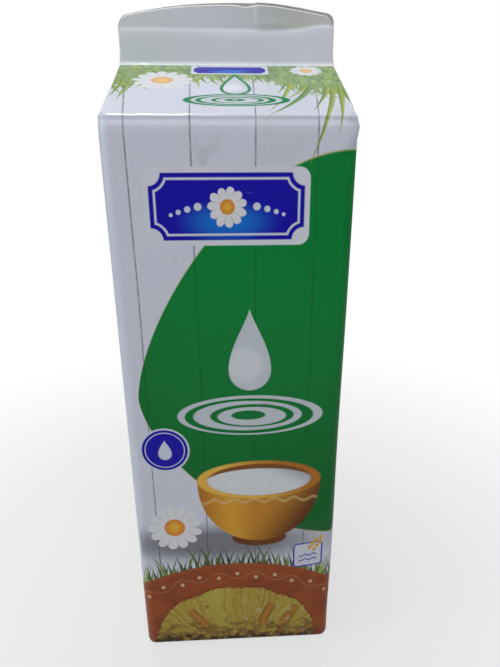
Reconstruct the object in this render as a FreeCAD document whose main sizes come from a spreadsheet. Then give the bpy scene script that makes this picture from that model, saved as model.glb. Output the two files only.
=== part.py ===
import FreeCAD, Part
import math
import os
import Sketcher

# A shut gable-top carton for a drink, full, standing on its base.
# Frame: +Z up, origin on the floor under the middle of the base, front wall towards -Y.
# The board is one folded blank and the pack is shut, so it is one solid, "carton".

NODE = "carton"

# Driving sizes in millimetres. Each one becomes a cell of the sheet with this alias.
SIZES = {
    # four walls and the base
    "base_width": 70.0,  # across the front wall
    "base_depth": 70.0,  # front wall to back wall
    "shoulder_height": 185.0,  # floor to the fold under the roof
    "wall_corner_radius": 3.5,  # the four upright folds
    "base_edge_radius": 1.2,  # the folds where the walls turn under
    # roof
    "roof_rise": 19.4,  # shoulder fold to the ridge
    "roof_setback": 1.3,  # how far the ends of roof and fin stay inside the side walls
    "roof_board": 1.1,  # a roof panel with the gusset wings folded under it
    "shoulder_radius": 1.5,  # the fold between a wall and its roof panel
    # sealed fin
    "seal_height": 10.0,  # the four-layer band above the ridge
    "seal_thickness": 2.0,  # four layers of board pressed together
    "fin_height": 16.9,  # ridge to the top of the arch
    "fin_arch_drop": 2.7,  # how much lower the arch is at the fin's ends
    "fin_corner_radius": 3.0,  # rounded ends of the arch
    "lip_thickness": 1.1,  # two layers of board above the band
}

HALF_WIDTH = "(Sizes.base_width / 2)"
HALF_DEPTH = "(Sizes.base_depth / 2)"
HALF_ROOF = "(Sizes.base_width / 2 - Sizes.roof_setback)"
SHOULDER = "Sizes.shoulder_height"
RIDGE = "(Sizes.shoulder_height + Sizes.roof_rise)"

CLOSE = 1e-4  # two places nearer than this are the same place


def make_sheet(doc):
    """The spreadsheet that every object reads its sizes from."""
    sheet = doc.addObject("Spreadsheet::Sheet", "Sizes")
    for row, (alias, value) in enumerate(SIZES.items(), start=1):
        sheet.set(f"A{row}", alias)
        sheet.set(f"B{row}", str(value))
        sheet.setAlias(f"B{row}", alias)
    doc.recompute()
    return sheet


def add_sketch(body, name, role):
    """An empty sketch on one of the body's own origin planes."""
    sketch = body.newObject("Sketcher::SketchObject", name)
    for feature in body.Origin.OriginFeatures:
        if feature.Role == role:
            sketch.AttachmentSupport = [(feature, "")]
    sketch.MapMode = "FlatFace"
    return sketch


def draw_sides(sketch, corners):
    """Straight sides from corner to corner, each corner a pair of expressions."""
    places = []
    for across, upward in corners:
        places.append(FreeCAD.Vector(sketch.evalExpression(across), sketch.evalExpression(upward), 0))
    for start, end in zip(places, places[1:]):
        sketch.addGeometry(Part.LineSegment(start, end))
    last_side = len(places) - 2
    for side in range(last_side):
        sketch.addConstraint(Sketcher.Constraint("Coincident", side, 2, side + 1, 1))
    for number, corner in enumerate(corners):
        side, end = (number, 1) if number <= last_side else (last_side, 2)
        for kind, expression in zip(("DistanceX", "DistanceY"), corner):
            value = float(sketch.evalExpression(expression))
            index = sketch.addConstraint(Sketcher.Constraint(kind, -1, 1, side, end, value))
            sketch.setExpression(f"Constraints[{index}]", expression)
    return places


def close_straight(sketch, places):
    """Joins the last corner to the first with a straight side."""
    side = sketch.addGeometry(Part.LineSegment(places[-1], places[0]))
    sketch.addConstraint(Sketcher.Constraint("Coincident", side - 1, 2, side, 1))
    sketch.addConstraint(Sketcher.Constraint("Coincident", side, 2, 0, 1))


def close_arched(sketch, places, radius):
    """Joins the last corner to the first with an arch bulging upward."""
    end, start = places[0], places[-1]
    size = float(sketch.evalExpression(radius))
    half_span = (start - end).Length / 2
    fall = math.sqrt(size**2 - half_span**2)
    centre = (start + end) * 0.5 - FreeCAD.Vector(0, fall, 0)
    circle = Part.Circle(centre, FreeCAD.Vector(0, 0, 1), size)
    arch = Part.ArcOfCircle(circle, math.atan2(fall, half_span), math.atan2(fall, -half_span))
    side = sketch.addGeometry(arch)
    sketch.addConstraint(Sketcher.Constraint("Coincident", side - 1, 2, side, 1))
    sketch.addConstraint(Sketcher.Constraint("Coincident", side, 2, 0, 1))
    index = sketch.addConstraint(Sketcher.Constraint("Radius", side, size))
    sketch.setExpression(f"Constraints[{index}]", radius)


def add_pad(body, sketch, name, length, midplane=False):
    pad = body.newObject("PartDesign::Pad", name)
    pad.Profile = sketch
    pad.setExpression("Length", length)
    pad.Midplane = midplane
    body.Tip = pad
    return pad


def add_fillet(body, base, name, wanted, radius):
    """Rounds the base's edges whose two ends both answer to the test."""
    fillet = body.newObject("PartDesign::Fillet", name)
    fillet.Base = (base, edge_names(base.Shape, wanted))
    fillet.setExpression("Radius", radius)
    body.Tip = fillet
    return fillet


def edge_names(shape, wanted):
    names = []
    for number, edge in enumerate(shape.Edges, start=1):
        ends = [vertex.Point for vertex in edge.Vertexes]
        if len(ends) == 2 and wanted(*ends):
            names.append(f"Edge{number}")
    return names


def make_tube(doc):
    """The square tube that the blank folds into, as tall as the ridge."""
    body = doc.addObject("PartDesign::Body", "Tube")
    sketch = add_sketch(body, "TubeSection", "XY_Plane")
    places = draw_sides(sketch, [
        (f"-{HALF_WIDTH}", f"-{HALF_DEPTH}"),
        (HALF_WIDTH, f"-{HALF_DEPTH}"),
        (HALF_WIDTH, HALF_DEPTH),
        (f"-{HALF_WIDTH}", HALF_DEPTH),
    ])
    close_straight(sketch, places)
    pad = add_pad(body, sketch, "TubeLength", RIDGE)
    doc.recompute()

    def upright(one, other):
        return abs(one.x - other.x) < CLOSE and abs(one.y - other.y) < CLOSE

    folds = add_fillet(body, pad, "UprightFolds", upright, "Sizes.wall_corner_radius")
    doc.recompute()

    def at_floor(one, other):
        return one.z < CLOSE and other.z < CLOSE

    add_fillet(body, folds, "BaseFolds", at_floor, "Sizes.base_edge_radius")
    return body


def make_profile(doc, sheet):
    """The pack seen from its side, with soft folds where the walls meet the roof."""
    body = doc.addObject("PartDesign::Body", "Profile")
    sketch = add_sketch(body, "ProfileSection", "YZ_Plane")
    places = draw_sides(sketch, [
        (f"-{HALF_DEPTH}", "0"),
        (HALF_DEPTH, "0"),
        (HALF_DEPTH, SHOULDER),
        ("0", RIDGE),
        (f"-{HALF_DEPTH}", SHOULDER),
    ])
    close_straight(sketch, places)
    pad = add_pad(body, sketch, "ProfileWidth", "Sizes.base_width", midplane=True)
    doc.recompute()

    def at_shoulder(one, other):
        return all(abs(end.z - sheet.shoulder_height) < CLOSE for end in (one, other))

    add_fillet(body, pad, "ShoulderFolds", at_shoulder, "Sizes.shoulder_radius")
    return body


def make_walls(doc):
    """The filled space between the four walls, up to the shoulder fold."""
    block = doc.addObject("Part::Box", "Walls")
    block.setExpression("Length", "Sizes.base_width")
    block.setExpression("Width", "Sizes.base_depth")
    block.setExpression("Height", SHOULDER)
    block.setExpression("Placement.Base.x", f"-{HALF_WIDTH}")
    block.setExpression("Placement.Base.y", f"-{HALF_DEPTH}")
    return block


def make_gussets(doc):
    """The side gussets fold in until they meet under the middle of the ridge.

    Under the roof panels they close a pyramid that stands on the shoulder fold.
    """
    hip = doc.addObject("Part::Wedge", "Gussets")
    hip.setExpression("Xmin", f"-{HALF_WIDTH}")
    hip.setExpression("Xmax", HALF_WIDTH)
    hip.setExpression("Zmin", f"-{HALF_DEPTH}")
    hip.setExpression("Zmax", HALF_DEPTH)
    hip.Ymin = 0
    hip.setExpression("Ymax", "Sizes.roof_rise")
    for name in ("X2min", "X2max", "Z2min", "Z2max"):
        setattr(hip, name, 0)
    point_up = FreeCAD.Rotation(FreeCAD.Vector(1, 0, 0), 90)
    hip.Placement = FreeCAD.Placement(FreeCAD.Vector(), point_up)
    hip.setExpression("Placement.Base.z", SHOULDER)
    return hip


def make_roof(doc):
    """The front and back roof panels, each with its gusset wings folded under."""
    body = doc.addObject("PartDesign::Body", "Roof")
    sketch = add_sketch(body, "RoofSection", "YZ_Plane")
    slope = f"sqrt({HALF_DEPTH}^2 + Sizes.roof_rise^2)"
    inset = f"Sizes.roof_board * {slope} / Sizes.roof_rise"
    drop = f"Sizes.roof_board * {slope} / {HALF_DEPTH}"
    places = draw_sides(sketch, [
        (f"-{HALF_DEPTH}", SHOULDER),
        (f"-{HALF_DEPTH} + {inset}", SHOULDER),
        ("0", f"{RIDGE} - {drop}"),
        (f"{HALF_DEPTH} - {inset}", SHOULDER),
        (HALF_DEPTH, SHOULDER),
        ("0", RIDGE),
    ])
    close_straight(sketch, places)
    add_pad(body, sketch, "RoofPanels", f"2 * {HALF_ROOF}", midplane=True)
    return body


def make_band(doc):
    """The four-layer seal: roof panels and gussets pressed together on the ridge."""
    body = doc.addObject("PartDesign::Body", "Band")
    sketch = add_sketch(body, "BandOutline", "XZ_Plane")
    foot = f"{RIDGE} - Sizes.seal_thickness / 2"
    top = f"{RIDGE} + Sizes.seal_height"
    places = draw_sides(sketch, [
        (f"-{HALF_ROOF}", top),
        (f"-{HALF_ROOF}", foot),
        (HALF_ROOF, foot),
        (HALF_ROOF, top),
    ])
    close_straight(sketch, places)
    add_pad(body, sketch, "BandThickness", "Sizes.seal_thickness", midplane=True)
    return body


def make_lip(doc, sheet):
    """The two outer layers that reach above the band, with an arched top."""
    body = doc.addObject("PartDesign::Body", "Lip")
    sketch = add_sketch(body, "LipOutline", "XZ_Plane")
    foot = f"{RIDGE} - Sizes.lip_thickness / 2"
    end_top = f"{RIDGE} + Sizes.fin_height - Sizes.fin_arch_drop"
    places = draw_sides(sketch, [
        (f"-{HALF_ROOF}", end_top),
        (f"-{HALF_ROOF}", foot),
        (HALF_ROOF, foot),
        (HALF_ROOF, end_top),
    ])
    close_arched(sketch, places, f"({HALF_ROOF}^2 + Sizes.fin_arch_drop^2) / (2 * Sizes.fin_arch_drop)")
    pad = add_pad(body, sketch, "LipThickness", "Sizes.lip_thickness", midplane=True)
    doc.recompute()

    def at_arch_end(one, other):
        low = sheet.shoulder_height + sheet.roof_rise + sheet.lip_thickness
        return one.x == other.x and one.z > low and abs(one.z - other.z) < CLOSE

    add_fillet(body, pad, "ArchEnds", at_arch_end, "Sizes.fin_corner_radius")
    return body


def make_carton(doc, filled, outlines, fin):
    """Joins what the board encloses, trims it to the outlines and adds the fin."""
    form = doc.addObject("Part::MultiFuse", "Form")
    form.Shapes = filled
    trimmed = doc.addObject("Part::MultiCommon", "Trimmed")
    trimmed.Shapes = [form] + outlines
    carton = doc.addObject("Part::MultiFuse", "Carton")
    carton.Shapes = [trimmed] + fin
    carton.Refine = True
    carton.Label = NODE
    return carton


def check(doc, piece):
    """Stops the script on any object that failed and on a solid that isn't sound."""
    doc.recompute()
    for item in doc.Objects:
        if "Invalid" in item.State or "Error" in item.State:
            raise RuntimeError(f"{item.Label} did not compute: {item.State}")
    if piece.Shape.isNull() or not piece.Shape.isValid():
        raise RuntimeError(f"{piece.Label} has no sound shape")
    if len(piece.Shape.Solids) != 1:
        raise RuntimeError(f"{piece.Label} has {len(piece.Shape.Solids)} solids")


def main():
    doc = FreeCAD.newDocument("GableTopCarton")
    sheet = make_sheet(doc)
    filled = [make_walls(doc), make_gussets(doc), make_roof(doc)]
    outlines = [make_tube(doc), make_profile(doc, sheet)]
    fin = [make_band(doc), make_lip(doc, sheet)]
    carton = make_carton(doc, filled, outlines, fin)
    check(doc, carton)
    os.makedirs("parts", exist_ok=True)
    carton.Shape.exportStep(f"parts/{NODE}.step")
    box = carton.Shape.optimalBoundingBox()
    print(f"{NODE}: {box.XLength:.2f} x {box.YLength:.2f} x {box.ZLength:.2f} mm, "
          f"{carton.Shape.Volume / 1000:.1f} cm3, {len(carton.Shape.Faces)} faces")


main()
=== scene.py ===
import math

import bmesh
import bpy
from mathutils import Euler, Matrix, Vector, noise


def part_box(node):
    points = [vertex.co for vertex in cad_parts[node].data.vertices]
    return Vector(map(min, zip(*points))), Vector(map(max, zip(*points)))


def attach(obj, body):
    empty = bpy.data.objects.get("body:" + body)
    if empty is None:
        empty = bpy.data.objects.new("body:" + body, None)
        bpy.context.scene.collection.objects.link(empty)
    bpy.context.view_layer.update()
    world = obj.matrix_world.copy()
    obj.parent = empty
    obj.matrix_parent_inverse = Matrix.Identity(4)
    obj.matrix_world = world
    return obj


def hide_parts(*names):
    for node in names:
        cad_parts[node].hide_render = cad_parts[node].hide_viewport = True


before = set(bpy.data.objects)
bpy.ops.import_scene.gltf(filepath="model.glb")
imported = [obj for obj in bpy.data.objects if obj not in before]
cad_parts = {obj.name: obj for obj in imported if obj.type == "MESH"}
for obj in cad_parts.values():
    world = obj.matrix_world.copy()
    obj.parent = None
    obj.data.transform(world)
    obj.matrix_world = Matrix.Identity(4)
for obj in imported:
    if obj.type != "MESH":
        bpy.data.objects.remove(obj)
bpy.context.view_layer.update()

# A shut gable-top carton in printed, coated board. Lengths are in metres: +Z up, front wall to -Y.
MM = 0.001
LOW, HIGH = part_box("carton")
HALF_WIDTH = (HIGH.x - LOW.x) / 2
HALF_DEPTH = (HIGH.y - LOW.y) / 2
TOP = HIGH.z

# the form
CORNER = 3.5 * MM  # radius of the four upright folds
BASE_EDGE = 1.2 * MM  # radius of the folds under the walls
FIN_HEIGHT = 16.9 * MM  # ridge to the top of the arch
ROOF_RISE = 19.05 * MM  # shoulder fold to ridge
ROOF_INSET = 0.75 * MM  # the roof's ends stay this far inside the side walls
FIN_INSET = 1.18 * MM  # and the fin's
INSET_REACH = 4 * MM  # the height over which each of them is reached
BAND_HEIGHT = 10.0 * MM  # the four-layer seal above the ridge
BAND_HALF = 1.0 * MM  # half its thickness
LIP_HALF = 0.55 * MM  # half the thickness of the two layers above it
FOLD_RADIUS = 0.5 * MM  # a panel folded flat on its gusset wing
SHOULDER_RADIUS = 1.0 * MM
FOOT_RADIUS = 1.9 * MM  # the hollow fold where the roof turns up into the fin
GUSSET_DROP = 1.2 * MM  # how far under the ridge the two gussets meet

RIDGE = TOP - FIN_HEIGHT
SHOULDER = RIDGE - ROOF_RISE
FIN_HALF = HALF_WIDTH - FIN_INSET
FLAT_X = HALF_WIDTH - CORNER  # half the flat part of the front wall
FLAT_Y = HALF_DEPTH - CORNER  # and of a side wall
CORNER_BLEND = 8 * MM  # how far up the roof an upright fold becomes a flat one
SMALL = 1e-6
WELD = 4e-6  # verts nearer than this become one
SLIVER = 2e-6  # edges shorter than this are dissolved
CORNER_CUTS = 16  # facets round an upright fold
BASE_CUTS = 3
CREASE_ANGLE = 38  # degrees; sharper edges than this are shaded sharp

# the flat blank: u runs round the sleeve from the middle of the front wall, v runs up it
CORNER_ARC = CORNER * math.pi / 2
PANEL = 2 * FLAT_X + CORNER_ARC  # from the middle of one upright fold to the next
BLANK = 282 * MM  # the square that holds the whole blank
BLANK_LEFT = -1.5 * PANEL - 0.5 * MM
BLANK_FOOT = -HALF_DEPTH - 1.5 * MM
UV_NAME = "OFBake"


def smooth(value):
    """Eases from 0 to 1 as value does."""
    value = min(max(value, 0.0), 1.0)
    return value * value * (3 - 2 * value)


def mix(low, high, share):
    return low + (high - low) * share


def round_turn(path, corner, into, out, radius):
    """A point of a path that turns at a corner.

    path is the distance along it, 0 in the middle of the turn. All places are in a plane.
    """
    angle = into.angle(out)
    half_arc = radius * angle / 2
    reach = radius * math.tan(angle / 2)
    if path <= -half_arc:
        return corner + into * (path + half_arc - reach)
    if path >= half_arc:
        return corner + out * (path - half_arc + reach)
    swept = (path + half_arc) / radius
    side = (out - into * math.cos(angle)) / math.sin(angle)
    return corner - into * reach + radius * (math.sin(swept) * into + (1 - math.cos(swept)) * side)


def turn_saving(into, out, radius):
    """How much shorter the rounded path is than the sharp one, at one of its ends."""
    angle = into.angle(out)
    return radius * (math.tan(angle / 2) - angle / 2)


UP = Vector((0, 1))
ROOF_WAY = Vector((BAND_HALF - HALF_DEPTH, ROOF_RISE)).normalized()
GUSSET_WAY = Vector((-HALF_WIDTH, ROOF_RISE - GUSSET_DROP)).normalized()
SLANT = (
    Vector((HALF_DEPTH - BAND_HALF, ROOF_RISE)).length
    - turn_saving(UP, ROOF_WAY, SHOULDER_RADIUS)
    - turn_saving(ROOF_WAY, UP, FOOT_RADIUS)
)
GUSSET_SLANT = Vector((HALF_WIDTH, ROOF_RISE - GUSSET_DROP)).length
SLEEVE_FOOT = SHOULDER + SLANT  # where the fin starts on the unfolded sleeve
SLEEVE_TOP = SLEEVE_FOOT + FIN_HEIGHT


# ---- modelling helpers

def pick(piece, kind, wanted):
    """Selects the edges, faces or verts that answer to the test, and nothing else."""
    bpy.ops.mesh.select_all(action="DESELECT")
    bpy.ops.mesh.select_mode(type={"edges": "EDGE", "faces": "FACE", "verts": "VERT"}[kind])
    cage = bmesh.from_edit_mesh(piece.data)
    for item in getattr(cage, kind):
        if wanted(item):
            item.select_set(True)
    cage.select_flush_mode()
    bmesh.update_edit_mesh(piece.data)


def cut(place, direction):
    """Cuts the selected faces along a plane and keeps both sides."""
    bpy.ops.mesh.bisect(plane_co=place, plane_no=direction)


def cut_all(place, direction):
    """Cuts every face along a plane."""
    bpy.ops.mesh.select_all(action="SELECT")
    cut(place, direction)


def middle(face):
    return face.calc_center_median()


def move_selected(piece, place):
    """Moves the selected verts to where place() says."""
    cage = bmesh.from_edit_mesh(piece.data)
    for vert in cage.verts:
        if vert.select:
            vert.co = place(vert.co)
    bmesh.update_edit_mesh(piece.data)


# ---- the sleeve

ROOF_ROWS = 30  # as many as the columns in half a wall, so that the gusset folds follow the grid
FIN_WRINKLES = (7.8, 8.3, 8.65, 9.2)  # extra columns, in mm from the middle, where the lip wrinkles


def sleeve_levels():
    """Heights of the cuts round the sleeve, closer together near the folds."""
    levels = []
    height = 4 * MM
    while height < SHOULDER - 12 * MM:
        levels.append(height)
        height += 3 * MM
    for below in (11, 10, 9, 8, 7, 6, 5, 4, 3.2, 2.6, 2.2, 1.9, 1.6, 1.3, 1.0, 0.75, 0.5, 0.3, 0.15):
        levels.append(SHOULDER - below * MM)
    for above in (0, 0.15, 0.3, 0.5, 0.8):
        levels.append(SHOULDER + above * MM)
    for row in range(1, ROOF_ROWS):
        levels.append(SHOULDER + SLANT * row / ROOF_ROWS)
    for beside in (-0.9, -0.6, -0.3, 0, 0.3, 0.6, 0.9, 1.4, 2.5, 4, 5.5, 6.5, 7.3, 8, 8.6, 9.1, 9.6):
        levels.append(SLEEVE_FOOT + beside * MM)
    for beside in (10, 10.35, 10.7, 11.1, 11.6, 12.4, 13.3, 14.2, 15.1, 16, 16.5):
        levels.append(SLEEVE_FOOT + beside * MM)
    return levels


def make_sleeve():
    """The board as it stands before its top is folded: a tall square tube with a base."""
    bpy.ops.object.select_all(action="DESELECT")
    bpy.ops.mesh.primitive_cube_add(size=1, location=(0, 0, SLEEVE_TOP / 2),
                                    scale=(2 * HALF_WIDTH, 2 * HALF_DEPTH, SLEEVE_TOP))
    sleeve = bpy.context.object
    sleeve.name = "carton_board"
    sleeve.data.name = "carton_board"
    bpy.ops.object.transform_apply(location=True, rotation=True, scale=True)
    bpy.ops.object.mode_set(mode="EDIT")
    pick(sleeve, "faces", lambda face: face.normal.z > 0.5)
    bpy.ops.mesh.delete(type="FACE")
    pick(sleeve, "edges", lambda edge: abs(edge.verts[0].co.z - edge.verts[1].co.z) > HALF_WIDTH)
    bpy.ops.mesh.bevel(offset=CORNER, segments=CORNER_CUTS, affect="EDGES")
    pick(sleeve, "edges", lambda edge: max(vert.co.z for vert in edge.verts) < SMALL)
    bpy.ops.mesh.bevel(offset=BASE_EDGE, segments=BASE_CUTS, affect="EDGES")

    for column in range(1 - ROOF_ROWS, ROOF_ROWS):
        cut_all((FLAT_X * column / ROOF_ROWS, 0, 0), (1, 0, 0))
        cut_all((0, FLAT_Y * column / ROOF_ROWS, 0), (0, 1, 0))
    for level in sleeve_levels():
        cut_all((0, 0, level), (0, 0, 1))
    for column in FIN_WRINKLES:
        pick(sleeve, "faces", lambda face: middle(face).z > SHOULDER and abs(middle(face).y) > FLAT_Y)
        cut((column * MM, 0, 0), (1, 0, 0))
    for side in (-1, 1):
        pick(sleeve, "faces", lambda face: SHOULDER < middle(face).z < SLEEVE_FOOT
             and abs(middle(face).y) < FLAT_Y and abs(middle(face).x) > FLAT_X)
        cut((0, side * FLAT_Y, SHOULDER), (0, SLANT, side * FLAT_Y))
    bpy.ops.object.mode_set(mode="OBJECT")
    return sleeve


def round_the_sleeve(point):
    """How far round the sleeve a point is from the middle of the front wall, towards +X."""
    past_x = abs(point.x) - FLAT_X
    past_y = abs(point.y) - FLAT_Y
    if past_x > SMALL and past_y > SMALL:
        turned = math.atan2(past_x, past_y) * CORNER
        if point.y < 0:
            return math.copysign(FLAT_X + turned, point.x)
        return 2 * PANEL - math.copysign(FLAT_X + turned, point.x)
    if past_x > SMALL:
        return PANEL + point.y if point.x > 0 else -PANEL - point.y
    if point.y < 0:
        return point.x
    return 2 * PANEL - point.x


def on_blank(across, upward):
    """The UV place of a spot on the flat blank."""
    return (across - BLANK_LEFT) / BLANK, (upward - BLANK_FOOT) / BLANK


def unroll(piece):
    """Lays the sleeve out flat in the UV map: four walls in a row, half the base under each main wall."""
    layer = piece.data.uv_layers[0]
    layer.name = UV_NAME
    verts = piece.data.vertices
    for face in piece.data.polygons:
        under = face.normal.z < -0.7
        centre = face.center
        across_middle = round_the_sleeve(centre)
        for corner, index in zip(face.loop_indices, face.vertices):
            point = verts[index].co
            if under:
                across = point.x if centre.y < 0 else 2 * PANEL - point.x
                upward = abs(point.y) - HALF_DEPTH
            else:
                across = round_the_sleeve(point)
                upward = point.z
                if across - across_middle > PANEL:
                    across -= 4 * PANEL
                if across_middle - across > PANEL:
                    across += 4 * PANEL
            layer.data[corner].uv = on_blank(across, upward)


# ---- folding the top

FOLD_START = 0.5 - FOLD_RADIUS * math.pi / 2 / CORNER_ARC  # share of the upright fold that stays flat
PANEL_PINCH = 0.3 * MM  # how much a main panel's flat part narrows up to the ridge
WING_RISE = 4 * MM  # over this height of the fin the folded wings come level with the panels
GUSSET_SAVING = turn_saving(UP, GUSSET_WAY, SHOULDER_RADIUS)
WALL_SAVING = turn_saving(UP, ROOF_WAY, SHOULDER_RADIUS)
SETTLE = 6 * MM  # the walls take up the rounded fold over this height
STEP_REACH = 4.2 * MM  # the fin narrows from four layers to two over this height
LIP_FOOT = 10.7 * MM  # from here up, the lip's rows follow its arch
ARCH_RADIUS = 180 * MM
ARCH_MIDDLE = 3.2 * MM  # the arch was cut a little off centre
ARCH_CORNERS = {  # radius at the left and right end of each layer
    "front": (3.3 * MM, 3.4 * MM),
    "back": (3.0 * MM, 2.2 * MM),
}
FRONT_SHORT = 0.9 * MM  # how far the front layer stays below the back one, in the middle


def lip_layer(point):
    return "front" if point.y < 0 else "back"


def arch_corner(x, layer):
    """Radius of a layer's rounded end, and how far into it a place is."""
    corner = ARCH_CORNERS[layer][0 if x < 0 else 1]
    return corner, min(max(abs(x) - (FIN_HALF - corner), 0.0), corner)


def fin_top(x, layer):
    """Height above the ridge of the arched edge of one layer of the lip."""
    arch = FIN_HEIGHT - (ARCH_RADIUS - math.sqrt(ARCH_RADIUS ** 2 - (x - ARCH_MIDDLE) ** 2))
    corner, past = arch_corner(x, layer)
    height = arch - corner + math.sqrt(corner ** 2 - past ** 2)
    if layer == "front":
        height -= FRONT_SHORT * (0.65 + 0.6 * smooth((x + FIN_HALF) / (2 * FIN_HALF)))
        height -= 0.45 * MM * math.exp(-((x - 5.6 * MM) / (1.7 * MM)) ** 2)
    return height


def panel_place(path):
    """Depth and height of a main panel, path being the distance up it from the shoulder."""
    if path < -SHOULDER_RADIUS:
        settled = WALL_SAVING * smooth(1 + path / SETTLE)
        return Vector((HALF_DEPTH, SHOULDER + path - settled))
    if path < SLANT / 2:
        corner = Vector((HALF_DEPTH, SHOULDER))
        return round_turn(path, corner, UP, ROOF_WAY, SHOULDER_RADIUS)
    corner = Vector((BAND_HALF, RIDGE))
    return round_turn(path - SLANT, corner, ROOF_WAY, UP, FOOT_RADIUS)


def bump(value, middle_mm, reach_mm):
    """A soft bump of height 1, its middle and reach given in millimetres."""
    return math.exp(-((value / MM - middle_mm) / reach_mm) ** 2)


def step_height(x):
    """Height above the ridge at which the four layers end; the pressed lip makes it wavy."""
    wave = -0.4 * bump(x, 13.5, 4.5) + 0.45 * bump(x, 24, 5) + 2.1 * smooth((x / MM - 22) / 10)
    return BAND_HEIGHT + wave * MM


def seal_depth(x, height):
    """Half the fin's thickness: the band rolls back at its top, where the lip begins."""
    above = height - step_height(x)
    if above >= 0:
        return LIP_HALF
    share = max(1 + above / STEP_REACH, 0.0)
    return mix(BAND_HALF, LIP_HALF, 0.75 * share ** 3 + 0.25 * smooth(6 * share - 5))


def gusset_place(path):
    """Distance from the middle, and height, of the gusset's face."""
    if path <= 0:
        along = path
    else:
        along = path * (GUSSET_SLANT - GUSSET_SAVING) / SLANT
    corner = Vector((HALF_WIDTH, SHOULDER))
    return round_turn(along, corner, UP, GUSSET_WAY, SHOULDER_RADIUS)


def end_inset(path):
    """How far the roof's end, or the fin's, stands inside the side wall."""
    if path < SLANT:
        return ROOF_INSET * smooth(path / INSET_REACH)
    return mix(ROOF_INSET, FIN_INSET, smooth((path - SLANT) / INSET_REACH))


def corner_x(way, blend, flat_end, edge, side_x):
    """Distance from the middle on an upright fold, which blends into a flat one up the roof.

    way is 0 where the fold meets the main panel and 1 where it meets the gusset's wing.
    """
    turned = way * math.pi / 2
    round_x = side_x if way > 1 - SMALL else FLAT_X + CORNER * math.sin(turned)
    crest = edge - FOLD_RADIUS
    if way < FOLD_START:
        folded_x = mix(flat_end, crest, way / FOLD_START)
    elif way <= 1 - FOLD_START:
        folded_x = crest + FOLD_RADIUS * math.sin(fold_swing(way))
    else:
        folded_x = mix(flat_end, crest, (1 - way) / FOLD_START)
    return mix(round_x, folded_x, blend)


def corner_depth(way, blend):
    """0 on the main panel's side of an upright fold and 1 on the wing's."""
    if way < FOLD_START:
        folded = 0.0
    elif way <= 1 - FOLD_START:
        folded = (1 - math.cos(fold_swing(way))) / 2
    else:
        folded = 1.0
    return mix(1 - math.cos(way * math.pi / 2), folded, blend)


def fold_swing(way):
    """How far round a flat fold's bend a point lies."""
    return (way - FOLD_START) / (1 - 2 * FOLD_START) * math.pi


def fold_top(point):
    """Where a point of the standing sleeve goes when the gable top is folded and sealed."""
    path = point.z - SHOULDER
    if path < -SETTLE:
        return point.copy()
    share = min(max(path / SLANT, 0.0), 1.0)
    height = max(path - SLANT, 0.0)
    across = abs(point.x)
    past_x = across - FLAT_X
    past_y = abs(point.y) - FLAT_Y
    panel = panel_place(path)
    flat_end = FLAT_X - PANEL_PINCH * share
    edge = HALF_WIDTH - end_inset(path)
    if past_x < SMALL:
        x = across * flat_end / FLAT_X
        y, z = panel
    else:
        if path <= 0:
            wing = Vector((FLAT_Y, gusset_place(path).y))
        elif height == 0:
            wing = Vector((FLAT_Y * (1 - share), gusset_place(path).y))
        else:
            wing = Vector((0, panel.y - GUSSET_DROP * (1 - smooth(height / WING_RISE))))
        blend = smooth(path / CORNER_BLEND)
        side_x = gusset_place(min(path, 0)).x
        stretch = 1.0  # brings the widest place of the fold right to the roof's end
        if path > 0:
            ways = (step / CORNER_CUTS for step in range(CORNER_CUTS + 1))
            widest = max(corner_x(way, blend, flat_end, edge, side_x) for way in ways)
            stretch = (edge - flat_end) / (widest - flat_end)
        way = 1.0 if past_y <= SMALL else turned_share(point)
        corner = flat_end + (corner_x(way, blend, flat_end, edge, side_x) - flat_end) * stretch
        if past_y < -SMALL:
            gusset = gusset_place(path)
            fold_line = FLAT_Y * (1 - share)
            if path <= 0 or abs(point.y) <= fold_line + SMALL:
                x = gusset.x
                y = abs(point.y)
            else:
                x = mix(gusset.x, corner, (abs(point.y) - fold_line) / (FLAT_Y - fold_line))
                y = wing.x
            z = gusset.y
        else:
            x = corner
            y, z = panel.lerp(wing, corner_depth(way, blend))
    x = math.copysign(x, point.x)
    if height > BAND_HEIGHT - STEP_REACH - 1 * MM:
        y *= seal_depth(x, height) / BAND_HALF
    if height > LIP_FOOT:
        top = fin_top(math.copysign(min(abs(x), edge), x), lip_layer(point))
        z = RIDGE + LIP_FOOT + (height - LIP_FOOT) * (top - LIP_FOOT) / (FIN_HEIGHT - LIP_FOOT)
    return Vector((x, math.copysign(y, point.y), z))


def turned_share(point):
    """0 on a main wall of the sleeve, 1 on a side wall, and between them on an upright fold."""
    past_x = abs(point.x) - FLAT_X
    past_y = abs(point.y) - FLAT_Y
    if past_x < SMALL:
        return 0.0
    if past_y < SMALL:
        return 1.0
    return math.atan2(past_x, past_y) / (math.pi / 2)


def fold_sleeve(sleeve):
    """Folds and seals the top of the sleeve.

    The folded-in sides end at the ridge, and the folds beside the fin end with its four layers.
    """
    bpy.ops.object.mode_set(mode="EDIT")
    band_top = SLEEVE_FOOT + BAND_HEIGHT
    pick(sleeve, "faces", lambda face: middle(face).z > SLEEVE_FOOT and turned_share(middle(face)) > 0.69)
    bpy.ops.mesh.delete(type="FACE")
    pick(sleeve, "faces", lambda face: middle(face).z > band_top and turned_share(middle(face)) > 0.5)
    bpy.ops.mesh.delete(type="FACE")
    bpy.ops.mesh.select_all(action="SELECT")
    move_selected(sleeve, fold_top)
    bpy.ops.mesh.remove_doubles(threshold=WELD)
    bpy.ops.mesh.dissolve_degenerate(threshold=SLIVER)
    bpy.ops.object.mode_set(mode="OBJECT")


# ---- the lip's cut edges

BOARD = 0.5 * MM
CRUSH = 0.32 * MM  # the cut edge of the front layer is pressed round
EDGE_SLOT = 1  # material slot of the cut board
INNER_SLOT = 2  # and of the strip of its inner side that shows above the front layer
GROOVE = 0.22 * MM  # depth of the line between the lip's two layers


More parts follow.
